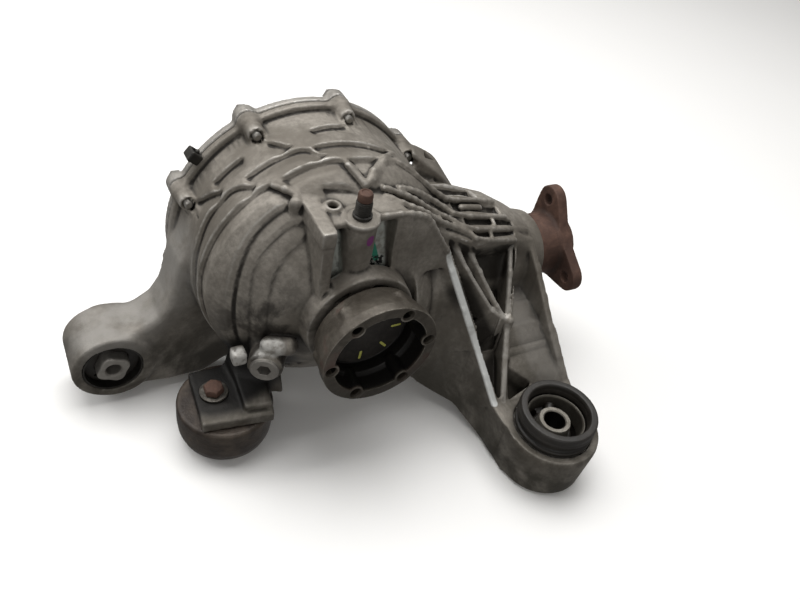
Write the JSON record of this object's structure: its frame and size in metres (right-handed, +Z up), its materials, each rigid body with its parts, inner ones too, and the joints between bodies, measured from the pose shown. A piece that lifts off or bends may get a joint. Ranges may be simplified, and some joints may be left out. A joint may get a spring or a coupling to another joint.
{
  "type": "differential gear assembly",
  "caption": "Rear axle differential: ribbed cast housing with side cover, mounting arms with rubber bushes, hypoid ring and pinion, bevel gears and output flanges.",
  "frame": {"origin": "under the middle of the assembly's box, on the surface that the front bosses and the damper weight stand on", "axes": "+X forward along the drive pinion, +Y to the left along the axle shafts, +Z up"},
  "size_m": [0.53, 0.466, 0.2918],
  "materials": {
    "cast_aluminium": "weathered casting",
    "aged_aluminium": "weathered",
    "brown_iron": "rusted",
    "dark_iron": "lightly rusted",
    "bright_steel": "satin",
    "gear_steel": "ground and oiled",
    "dark_steel": "dark phosphate",
    "rubber": "matt",
    "dust_cap": "dusty, matt",
    "gasket": "matt"
  },
  "bodies": {
    "casing": {"breather_body": "dark_steel", "breather_cap": "brown_iron", "cover_bolt_1": "bright_steel", "cover_bolt_2": "bright_steel", "cover_bolt_3": "bright_steel", "cover_bolt_4": "bright_steel", "cover_bolt_5": "bright_steel", "cover_bolt_6": "bright_steel", "cover_bolt_7": "bright_steel", "cover_bolt_8": "bright_steel", "cover_bolt_9": "bright_steel", "cover_gasket": "gasket", "damper_bolt": "brown_iron", "damper_washer": "bright_steel", "damper_weight": "dark_iron", "drain_plug": "dark_steel", "fill_plug": "aged_aluminium", "front_left_bush_rubber": "rubber", "front_left_bush_shell": "bright_steel", "front_left_bush_sleeve": "bright_steel", "front_right_bush_rubber": "rubber", "front_right_bush_shell": "bright_steel", "front_right_bush_sleeve": "bright_steel", "hose_clip": "dark_steel", "housing": "cast_aluminium", "left_carrier_bearing_cup": "gear_steel", "left_output_seal": "rubber", "pinion_head_bearing_cup": "gear_steel", "pinion_seal": "rubber", "pinion_tail_bearing_cup": "gear_steel", "rear_bush_core": "aged_aluminium", "rear_bush_rubber": "rubber", "rear_bush_shell": "dark_steel", "right_carrier_bearing_cup": "gear_steel", "right_output_seal": "rubber", "side_cover": "aged_aluminium"},
    "carrier": {"differential_case": "dark_iron", "ring_gear": "gear_steel", "cross_shaft": "bright_steel", "cross_shaft_pin": "bright_steel", "right_carrier_bearing_cone": "gear_steel", "left_carrier_bearing_cone": "gear_steel"},
    "pinion": {"drive_pinion": "gear_steel", "pinion_nut": "gear_steel", "input_flange": "brown_iron", "crush_sleeve": "gear_steel", "pinion_head_bearing_cone": "gear_steel", "pinion_tail_bearing_cone": "gear_steel"},
    "right_output": {"right_side_gear": "gear_steel", "right_output_flange": "dark_iron", "right_dust_cap": "dust_cap", "right_stub_clip": "bright_steel"},
    "left_output": {"left_side_gear": "gear_steel", "left_output_flange": "dark_iron", "left_dust_cap": "dust_cap", "left_stub_clip": "bright_steel"},
    "upper_spider": {"upper_spider_gear": "gear_steel"},
    "lower_spider": {"lower_spider_gear": "gear_steel"}
  },
  "joints": [
    {"name": "ring_spin", "type": "hinge", "parent": "casing", "child": "carrier", "pos_m": [-0.025, 0, 0.156], "axis": [0, 1, 0], "continuous": true},
    {"name": "pinion_spin", "type": "hinge", "parent": "casing", "child": "pinion", "pos_m": [0.175, 0, 0.134], "axis": [1, 0, 0], "continuous": true},
    {"name": "differential_action", "type": "hinge", "parent": "carrier", "child": "right_output", "pos_m": [-0.025, -0.1, 0.156], "axis": [0, 1, 0], "continuous": true},
    {"name": "left_output_spin", "type": "hinge", "parent": "carrier", "child": "left_output", "pos_m": [-0.025, 0.16, 0.156], "axis": [0, 1, 0], "continuous": true},
    {"name": "upper_spider_spin", "type": "hinge", "parent": "carrier", "child": "upper_spider", "pos_m": [-0.025, 0, 0.186], "axis": [0, 0, 1], "continuous": true},
    {"name": "lower_spider_spin", "type": "hinge", "parent": "carrier", "child": "lower_spider", "pos_m": [-0.025, 0, 0.126], "axis": [0, 0, 1], "continuous": true}
  ],
  "couplings": [
    {"joint": "pinion_spin", "follows": "ring_spin", "ratio": -3.7273},
    {"joint": "left_output_spin", "follows": "differential_action", "ratio": -1},
    {"joint": "upper_spider_spin", "follows": "differential_action", "ratio": 1.6},
    {"joint": "lower_spider_spin", "follows": "differential_action", "ratio": -1.6}
  ]
}
